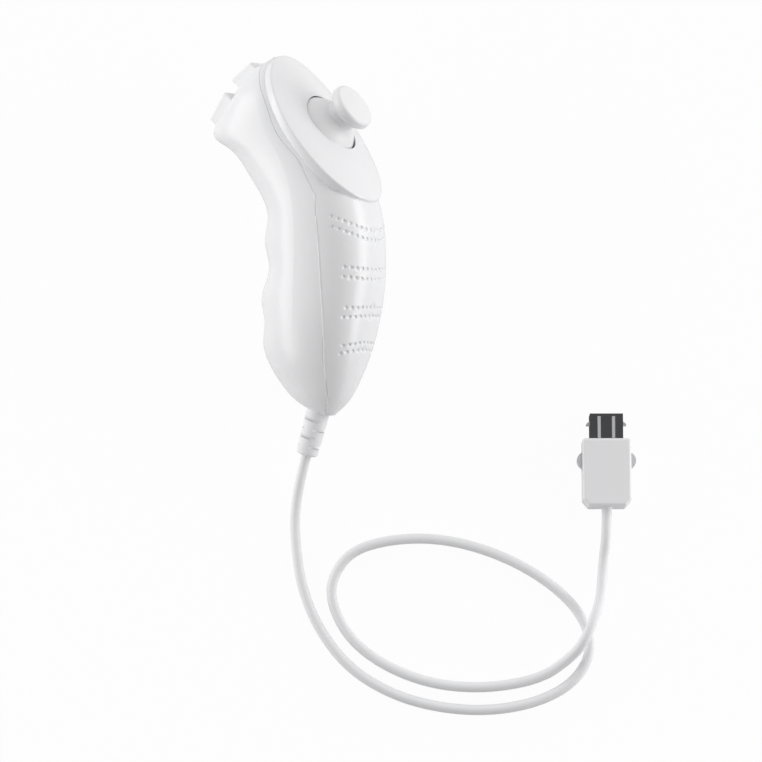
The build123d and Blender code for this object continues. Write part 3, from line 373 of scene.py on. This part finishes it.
@dataclass
class Cord:
    """The cord, from the strain relief to the plug.

    Args:
        mouth: where it leaves the strain relief, in millimetres.
        way: the direction in which it leaves.
        first_run: how far it goes straight at each end.
        radius: its radius.
        length: its real length; not used.
        points: where it goes on the surface.
        plug: where it enters the plug.
        line_order: order of the curve.
        line_steps: how finely it is drawn from point to point.
        round_steps: how finely it is drawn round its section.
    """

    mouth: tuple[float, float, float] = (2.85884, -67.8608, 7.15501)
    way: tuple[float, float, float] = (-0.259163, -0.907382, -0.330895)
    first_run: float = 8.0
    radius: float = 1.6
    length: float = 406.8
    points: tuple[tuple[float, float, float], ...] = (
        (-1.0, -86.0, 1.6), (-0.5, -97.5, 1.6), (1.5, -110.0, 1.6), (7.0, -123.0, 1.6),
        (16.5, -135.0, 1.6), (30.0, -143.0, 1.6), (44.5, -147.0, 1.6), (60.5, -148.0, 1.6),
        (76.0, -145.0, 1.6), (86.5, -139.0, 1.6), (91.5, -131.0, 1.6), (91.5, -123.0, 1.6),
        (86.0, -113.5, 1.6), (74.0, -104.0, 1.6), (59.0, -97.0, 1.6), (43.5, -93.5, 1.6),
        (29.0, -94.0, 1.6), (17.0, -97.5, 1.6), (11.0, -105.5, 1.6), (10.5, -114.0, 1.6),
        (16.0, -125.0, 1.6), (26.5, -133.5, 1.6), (41.5, -139.5, 1.6), (58.5, -141.0, 1.6),
        (76.0, -138.0, 1.6), (85.5, -131.5, 4.4), (89.5, -127.0, 8.0), (92.5, -120.0, 8.0),
        (95.0, -113.0, 4.4), (96.0, -101.0, 1.6),
    )
    plug: tuple[float, float, float] = (97.1, -84.3, 4.8)
    line_order: int = 3
    line_steps: int = 10
    round_steps: int = 5

    def route(self) -> list[Vector]:
        """Lays out the cord's line.

        Returns:
            The points that the line follows, in metres.
        """
        mouth = Vector(self.mouth)
        plug = Vector(self.plug)
        start = [mouth, mouth + Vector(self.way) * self.first_run]
        end = [plug - Vector((0.0, self.first_run, 0.0)), plug]
        return [p * MM for p in start + [Vector(p) for p in self.points] + end]

    def build(self, nodes: dict[str, bpy.types.Object]) -> bpy.types.Object:
        """Args:
            nodes: the CAD nodes by name; not used.

        Returns:
            The curve object.
        """
        line = bpy.data.curves.new("cord_line", "CURVE")
        line.dimensions = "3D"
        spline = line.splines.new("NURBS")
        route = self.route()
        spline.points.add(len(route) - 1)
        for place, point in zip(spline.points, route):
            place.co = (*point, 1.0)
        spline.order_u = self.line_order
        spline.use_endpoint_u = True
        spline.resolution_u = self.line_steps
        line.bevel_depth = self.radius * MM
        line.bevel_resolution = self.round_steps
        line.use_fill_caps = True
        piece = bpy.data.objects.new("cord_sleeve", line)
        bpy.context.scene.collection.objects.link(piece)
        stand_for(piece, "controller", CORD_WHITE, "cord")
        return piece


@dataclass
class GripDimples:
    """The rows of dimples across the front of the grip, and the shell that they are pressed into.

    Args:
        rows: each row's place along the grip at its middle, how far its ends lie from it along the
            grip, and how far it reaches to each side, in millimetres.
        pitch: the distance from dimple to dimple.
        steps: how finely a row is followed over the surface.
        radius: radius of a dimple's mouth.
        depth: depth of a dimple.
        ray_start: how far forward of the grip's line the rays that find the surface start.
        ball_steps: how finely the ball that presses a dimple is made.
        sharp: the angle from which an edge is shaded as a sharp one, in degrees.
    """

    rows: tuple[tuple[float, float, float], ...] = (
        (58.1, 3.9, 13.6), (55.0, 3.8, 13.7), (45.9, 0.7, 11.6), (42.8, 0.7, 11.7),
        (34.1, -0.2, 10.2), (31.4, -0.4, 10.5), (23.2, -0.9, 8.7), (21.0, -1.1, 8.7),
    )
    pitch: float = 2.05
    steps: int = 240
    radius: float = 0.62
    depth: float = 0.34
    ray_start: float = 60.0
    ball_steps: int = 3
    sharp: float = 32.0

    def places(self, frame: GripFrame, skin: BVHTree) -> list[tuple[Vector, Vector]]:
        """Where the dimples lie on the shell.

        Args:
            frame: the grip's own frame.
            skin: the shell's surface.

        Returns:
            Each dimple's place and the surface's direction there.
        """
        found = []
        back = frame.way(-1.0, 0.0, 0.0)
        for middle, lift, end in self.rows:
            line = []
            for i in range(self.steps + 1):
                share = 2.0 * i / self.steps - 1.0
                along = middle + lift * share * share
                start = frame.point(self.ray_start, along, end * share)
                place, normal, _, _ = skin.ray_cast(start, back)
                if place is not None:
                    line.append((place, normal if normal.dot(back) < 0 else -normal))
            found += self.spaced(line)
        return found

    def spaced(self, line: list[tuple[Vector, Vector]]) -> list[tuple[Vector, Vector]]:
        """Picks places at equal distances along a row.

        Args:
            line: many places along the row, with the surface's direction at each.

        Returns:
            The places of the row's dimples.
        """
        run = [0.0]
        for (before, _), (after, _) in zip(line, line[1:]):
            run.append(run[-1] + (after - before).length)
        count = round(run[-1] / (self.pitch * MM))
        wanted = [run[-1] * i / count for i in range(count + 1)]
        return [line[min(range(len(run)), key=lambda i: abs(run[i] - goal))] for goal in wanted]

    def tree(self) -> tuple[bpy.types.NodeTree, dict[str, str]]:
        """The nodes that press a ball into the shell at each place.

        Returns:
            The node tree, and the identifier of each of its inputs by name.
        """
        tree = bpy.data.node_groups.new("press_dimples", "GeometryNodeTree")
        face = tree.interface
        face.new_socket("Geometry", in_out="OUTPUT", socket_type="NodeSocketGeometry")
        face.new_socket("Geometry", in_out="INPUT", socket_type="NodeSocketGeometry")
        names = {}
        for label, kind, value in (
            ("Places", "NodeSocketObject", None),
            ("Ball Radius", "NodeSocketFloat", self.radius * MM),
            ("Ball Rise", "NodeSocketFloat", self.depth * MM),
            ("Finish", "NodeSocketMaterial", None),
        ):
            socket = face.new_socket(label, in_out="INPUT", socket_type=kind)
            if value is not None:
                socket.default_value = value
            names[label] = socket.identifier
        nodes, links = tree.nodes, tree.links
        start, end = nodes.new("NodeGroupInput"), nodes.new("NodeGroupOutput")
        info = nodes.new("GeometryNodeObjectInfo")
        links.new(start.outputs["Places"], info.inputs["Object"])
        lean = nodes.new("GeometryNodeInputNamedAttribute")
        lean.data_type = "FLOAT_VECTOR"
        lean.inputs["Name"].default_value = "facing"
        rise = nodes.new("ShaderNodeVectorMath")
        rise.operation = "SCALE"
        links.new(lean.outputs["Attribute"], rise.inputs[0])
        links.new(start.outputs["Ball Rise"], rise.inputs["Scale"])
        lift = nodes.new("GeometryNodeSetPosition")
        links.new(info.outputs["Geometry"], lift.inputs["Geometry"])
        links.new(rise.outputs["Vector"], lift.inputs["Offset"])
        ball = nodes.new("GeometryNodeMeshIcoSphere")
        ball.inputs["Subdivisions"].default_value = self.ball_steps
        links.new(start.outputs["Ball Radius"], ball.inputs["Radius"])
        put = nodes.new("GeometryNodeInstanceOnPoints")
        links.new(lift.outputs["Geometry"], put.inputs["Points"])
        links.new(ball.outputs["Mesh"], put.inputs["Instance"])
        real = nodes.new("GeometryNodeRealizeInstances")
        links.new(put.outputs["Instances"], real.inputs["Geometry"])
        cut = nodes.new("GeometryNodeMeshBoolean")
        cut.operation = "DIFFERENCE"
        cut.solver = "EXACT"
        links.new(start.outputs["Geometry"], cut.inputs["Mesh 1"])
        links.new(real.outputs["Geometry"], cut.inputs["Mesh 2"])
        finish = nodes.new("GeometryNodeSetMaterial")
        links.new(cut.outputs["Mesh"], finish.inputs["Geometry"])
        links.new(start.outputs["Finish"], finish.inputs["Material"])
        links.new(finish.outputs["Geometry"], end.inputs["Geometry"])
        return tree, names

    def build(self, frame: GripFrame, shell: bpy.types.Object) -> bpy.types.Object:
        """Makes the front shell with its dimples.

        Args:
            frame: the grip's own frame.
            shell: the CAD node that it replaces.

        Returns:
            The new shell.
        """
        places = self.places(frame, surface_of(shell))
        dots = bpy.data.meshes.new("dimple_places")
        dots.from_pydata([p for p, _ in places], [], [])
        facing = dots.attributes.new("facing", "FLOAT_VECTOR", "POINT")
        for item, (_, normal) in zip(facing.data, places):
            item.vector = normal
        marks = bpy.data.objects.new("dimple_places", dots)
        bpy.context.scene.collection.objects.link(marks)
        copy = shell.data.copy()
        copy.name = "dimpled_shell"
        mesh = bmesh.new()
        mesh.from_mesh(copy)
        bmesh.ops.remove_doubles(mesh, verts=mesh.verts, dist=MERGE_DISTANCE)
        mesh.to_mesh(copy)
        mesh.free()
        piece = bpy.data.objects.new("dimpled_shell", copy)
        bpy.context.scene.collection.objects.link(piece)
        modifier = piece.modifiers.new("dimples", "NODES")
        tree, names = self.tree()
        modifier.node_group = tree
        ball = (self.radius**2 + self.depth**2) / (2.0 * self.depth)
        modifier[names["Places"]] = marks
        modifier[names["Ball Radius"]] = ball * MM
        modifier[names["Ball Rise"]] = (ball - self.depth) * MM
        modifier[names["Finish"]] = SHELL_WHITE.make()
        seen = piece.evaluated_get(bpy.context.evaluated_depsgraph_get())
        result = bpy.data.meshes.new_from_object(seen)
        piece.modifiers.clear()
        piece.data = result
        bpy.data.objects.remove(marks)
        for polygon in result.polygons:
            polygon.use_smooth = True
        result.set_sharp_from_angle(angle=math.radians(self.sharp))
        LOG.info("%d dimples, %d faces", len(places), len(result.polygons))
        stand_for(piece, "controller", SHELL_WHITE, "front_shell")
        return piece


@dataclass
class SeamLip:
    """The fine raised line where the two shells meet.

    Args:
        shares: the seam seen from the side, as shares of the grip's reach and length.
        reach: the grip's reach, in millimetres.
        length: the grip's length.
        radius: half the line's width.
        first: how far along the grip the line starts.
        last: how far along it ends.
        ahead: how far forward of the seam's middle it lies.
        sunk: how deep it lies in the surface, as a share of its radius.
        ray_start: how far to the side the rays that find the surface start.
        line_steps: how finely the seam is drawn from point to point.
        round_steps: how finely the line is drawn round its section.
    """

    shares: tuple[tuple[float, float], ...] = (
        (0.030, -0.060), (0.030, 0.000), (0.115, 0.047), (0.160, 0.130), (0.205, 0.241),
        (0.207, 0.357), (0.190, 0.473), (0.168, 0.546), (0.145, 0.609), (0.090, 0.644),
        (-0.022, 0.707), (-0.092, 0.732), (-0.195, 0.771), (-0.312, 0.851), (-0.370, 0.888),
        (-0.425, 0.926), (-0.458, 0.965), (-0.500, 1.060),
    )
    reach: float = 40.0
    length: float = 113.8
    radius: float = 0.24
    first: float = 4.0
    last: float = 70.0
    ahead: float = 0.03
    sunk: float = 0.3
    ray_start: float = 40.0
    line_steps: int = 12
    round_steps: int = 2

    def side_line(self) -> list[tuple[float, float]]:
        """Draws the seam's smooth line as it is seen from the side.

        Returns:
            Its points, forward and along, in millimetres.
        """
        line = bpy.data.curves.new("seam_side", "CURVE")
        line.dimensions = "2D"
        spline = line.splines.new("BEZIER")
        spline.bezier_points.add(len(self.shares) - 1)
        for place, (forward, along) in zip(spline.bezier_points, self.shares):
            place.co = (forward * self.reach, along * self.length, 0.0)
            place.handle_left_type = place.handle_right_type = "AUTO"
        spline.resolution_u = self.line_steps
        holder = bpy.data.objects.new("seam_side", line)
        bpy.context.scene.collection.objects.link(holder)
        seen = holder.evaluated_get(bpy.context.evaluated_depsgraph_get())
        flat = bpy.data.meshes.new_from_object(seen)
        points = [(v.co.x, v.co.y) for v in flat.vertices]
        bpy.data.objects.remove(holder)
        return points

    def build(self, frame: GripFrame, skin: BVHTree) -> bpy.types.Object:
        """Makes the line on both sides of the grip.

        Args:
            frame: the grip's own frame.
            skin: both shells' surfaces.

        Returns:
            The line as one mesh.
        """
        line = bpy.data.curves.new("seam_lip", "CURVE")
        line.dimensions = "3D"
        line.bevel_depth = self.radius * MM
        line.bevel_resolution = self.round_steps
        line.use_fill_caps = True
        for side in (1.0, -1.0):
            way = frame.way(0.0, 0.0, -side)
            found = []
            for forward, along in self.side_line():
                if not self.first < along < self.last:
                    continue
                start = frame.point(forward + self.ahead, along, self.ray_start * side)
                place, _, _, _ = skin.ray_cast(start, way)
                if place is not None:
                    found.append(place + way * self.sunk * self.radius * MM)
            spline = line.splines.new("POLY")
            spline.points.add(len(found) - 1)
            for point, place in zip(spline.points, found):
                point.co = (*place, 1.0)
        holder = bpy.data.objects.new("seam_lip", line)
        bpy.context.scene.collection.objects.link(holder)
        seen = holder.evaluated_get(bpy.context.evaluated_depsgraph_get())
        mesh = bpy.data.meshes.new_from_object(seen)
        mesh.name = "seam_lip_mesh"
        bpy.data.objects.remove(holder)
        piece = bpy.data.objects.new("seam_lip", mesh)
        bpy.context.scene.collection.objects.link(piece)
        for polygon in mesh.polygons:
            polygon.use_smooth = True
        stand_for(piece, "controller", SHELL_WHITE)
        return piece


@dataclass
class Studio:
    """The floor, the lamps and the camera.

    Args:
        target: the point that the camera looks at, in metres.
        elevation: how high the camera stands, in degrees, seen from the tail's side.
        distance: how far away it stands.
        width: how much it sees there, from side to side.
        lamp_width: how wide each lamp is, in metres.
        room_level: how bright the room is overhead.
        room_sides: how much brighter it is at both sides.
        room_slope: how much brighter it is beyond the head than beyond the tail.
        lamps: each lamp's name, place, height and power.
        lamp_aim: how high over the origin the lamps point.
        sensor: width of the camera's sensor, in millimetres.
        near: how close to the camera things are still seen.
        floor_half: half the floor's width.
        floor_pale: how pale the floor is.
        floor_roughness: how matte it is.
        floor_gloss: how much it mirrors.
        floor_white: how far the camera sees it as plain white.
    """

    target: tuple[float, float, float] = (0.0262, -0.0449, 0.010)
    elevation: float = 80.0
    distance: float = 1.2
    width: float = 0.2396
    lamp_width: float = 0.8
    room_level: float = 0.545
    room_sides: float = 0.3
    room_slope: float = 0.42
    lamps: tuple[tuple[str, tuple[float, float, float], float, float], ...] = (
        ("lamp_left", (-0.62, 0.0, 0.14), 0.26, 1.9),
        ("lamp_right", (0.66, -0.02, 0.14), 0.26, 2.1),
    )
    lamp_aim: float = 0.01
    sensor: float = 36.0
    near: float = 0.01
    floor_half: float = 4.0
    floor_pale: float = 0.9
    floor_roughness: float = 0.9
    floor_gloss: float = 0.1
    floor_white: float = 0.95

    def camera(self) -> None:
        """Sets the camera up where the photograph was taken from."""
        lens = bpy.data.cameras.new("camera")
        lens.sensor_width = self.sensor
        lens.lens = self.sensor * self.distance / self.width
        lens.clip_start = self.near
        holder = bpy.data.objects.new("camera", lens)
        angle = math.radians(self.elevation)
        look = Vector((0.0, math.cos(angle), -math.sin(angle)))
        holder.location = Vector(self.target) - look * self.distance
        holder.rotation_euler = look.to_track_quat("-Z", "Y").to_euler()
        bpy.context.scene.collection.objects.link(holder)
        bpy.context.scene.camera = holder

    def floor(self) -> None:
        """Lays the pale floor, which looks white and keeps the object's shadow."""
        mesh = bpy.data.meshes.new("floor")
        half = self.floor_half
        mesh.from_pydata(
            [(-half, -half, 0.0), (half, -half, 0.0), (half, half, 0.0), (-half, half, 0.0)],
            [],
            [(0, 1, 2, 3)],
        )
        floor = bpy.data.objects.new("floor", mesh)
        bpy.context.scene.collection.objects.link(floor)
        paint = bpy.data.materials.new("floor_white")
        paint.use_nodes = True
        tree = paint.node_tree
        shader = tree.nodes["Principled BSDF"]
        shader.inputs["Base Color"].default_value = (*[self.floor_pale] * 3, 1.0)
        shader.inputs["Roughness"].default_value = self.floor_roughness
        shader.inputs["Specular IOR Level"].default_value = self.floor_gloss
        glow = tree.nodes.new("ShaderNodeEmission")
        glow.inputs["Color"].default_value = (1.0, 1.0, 1.0, 1.0)
        seen = tree.nodes.new("ShaderNodeLightPath")
        share = tree.nodes.new("ShaderNodeMath")
        share.operation = "MULTIPLY"
        share.inputs[1].default_value = self.floor_white
        tree.links.new(seen.outputs["Is Camera Ray"], share.inputs[0])
        mix = tree.nodes.new("ShaderNodeMixShader")
        tree.links.new(share.outputs["Value"], mix.inputs["Fac"])
        tree.links.new(shader.outputs["BSDF"], mix.inputs[1])
        tree.links.new(glow.outputs["Emission"], mix.inputs[2])
        tree.links.new(mix.outputs["Shader"], tree.nodes["Material Output"].inputs["Surface"])
        mesh.materials.append(paint)

    def lights(self) -> None:
        """Hangs the two broad soft lamps at the sides and makes the dim room."""
        for name, place, height, power in self.lamps:
            lamp = bpy.data.lights.new(name, "AREA")
            lamp.shape = "RECTANGLE"
            lamp.size = self.lamp_width
            lamp.size_y = height
            lamp.energy = power
            holder = bpy.data.objects.new(name, lamp)
            holder.location = place
            way = Vector((0.0, 0.0, self.lamp_aim)) - Vector(place)
            holder.rotation_euler = way.to_track_quat("-Z", "Y").to_euler()
            bpy.context.scene.collection.objects.link(holder)
        world = bpy.data.worlds.new("room")
        bpy.context.scene.world = world
        world.use_nodes = True
        tree = world.node_tree
        room = tree.nodes["Background"]
        room.inputs["Color"].default_value = (1.0, 1.0, 1.0, 1.0)
        towards = tree.nodes.new("ShaderNodeTexCoord")
        parts = tree.nodes.new("ShaderNodeSeparateXYZ")
        tree.links.new(towards.outputs["Generated"], parts.inputs["Vector"])
        square = tree.nodes.new("ShaderNodeMath")
        square.operation = "MULTIPLY"
        tree.links.new(parts.outputs["X"], square.inputs[0])
        tree.links.new(parts.outputs["X"], square.inputs[1])
        level = tree.nodes.new("ShaderNodeMath")
        level.operation = "MULTIPLY_ADD"
        level.inputs[1].default_value = self.room_sides
        tree.links.new(square.outputs["Value"], level.inputs[0])
        slope = tree.nodes.new("ShaderNodeMath")
        slope.operation = "MULTIPLY_ADD"
        slope.inputs[1].default_value = self.room_slope
        slope.inputs[2].default_value = self.room_level
        tree.links.new(parts.outputs["Y"], slope.inputs[0])
        tree.links.new(slope.outputs["Value"], level.inputs[2])
        tree.links.new(level.outputs["Value"], room.inputs["Strength"])
        white = tree.nodes.new("ShaderNodeBackground")
        white.inputs["Strength"].default_value = 1.0
        seen = tree.nodes.new("ShaderNodeLightPath")
        mix = tree.nodes.new("ShaderNodeMixShader")
        tree.links.new(seen.outputs["Is Camera Ray"], mix.inputs["Fac"])
        tree.links.new(room.outputs["Background"], mix.inputs[1])
        tree.links.new(white.outputs["Background"], mix.inputs[2])
        tree.links.new(mix.outputs["Shader"], tree.nodes["World Output"].inputs["Surface"])

    def build(self) -> None:
        """Sets up the whole studio."""
        self.camera()
        self.floor()
        self.lights()
        bpy.context.scene.view_settings.view_transform = "Standard"


def main() -> None:
    """Builds the controller's pieces in order."""
    logging.basicConfig(level=logging.INFO, format="%(message)s")
    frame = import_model()
    nodes = frame["nodes"]
    Studio().build()
    Cord().build(nodes)
    for finish, names in NODE_FINISHES.items():
        for name in names:
            dress(nodes[name], finish)
    grip = GripFrame()
    skin = surface_of(nodes["front_shell"], nodes["back_shell"])
    GripDimples().build(grip, nodes["front_shell"])
    SeamLip().build(grip, skin)


if __name__ == "__main__":
    main()
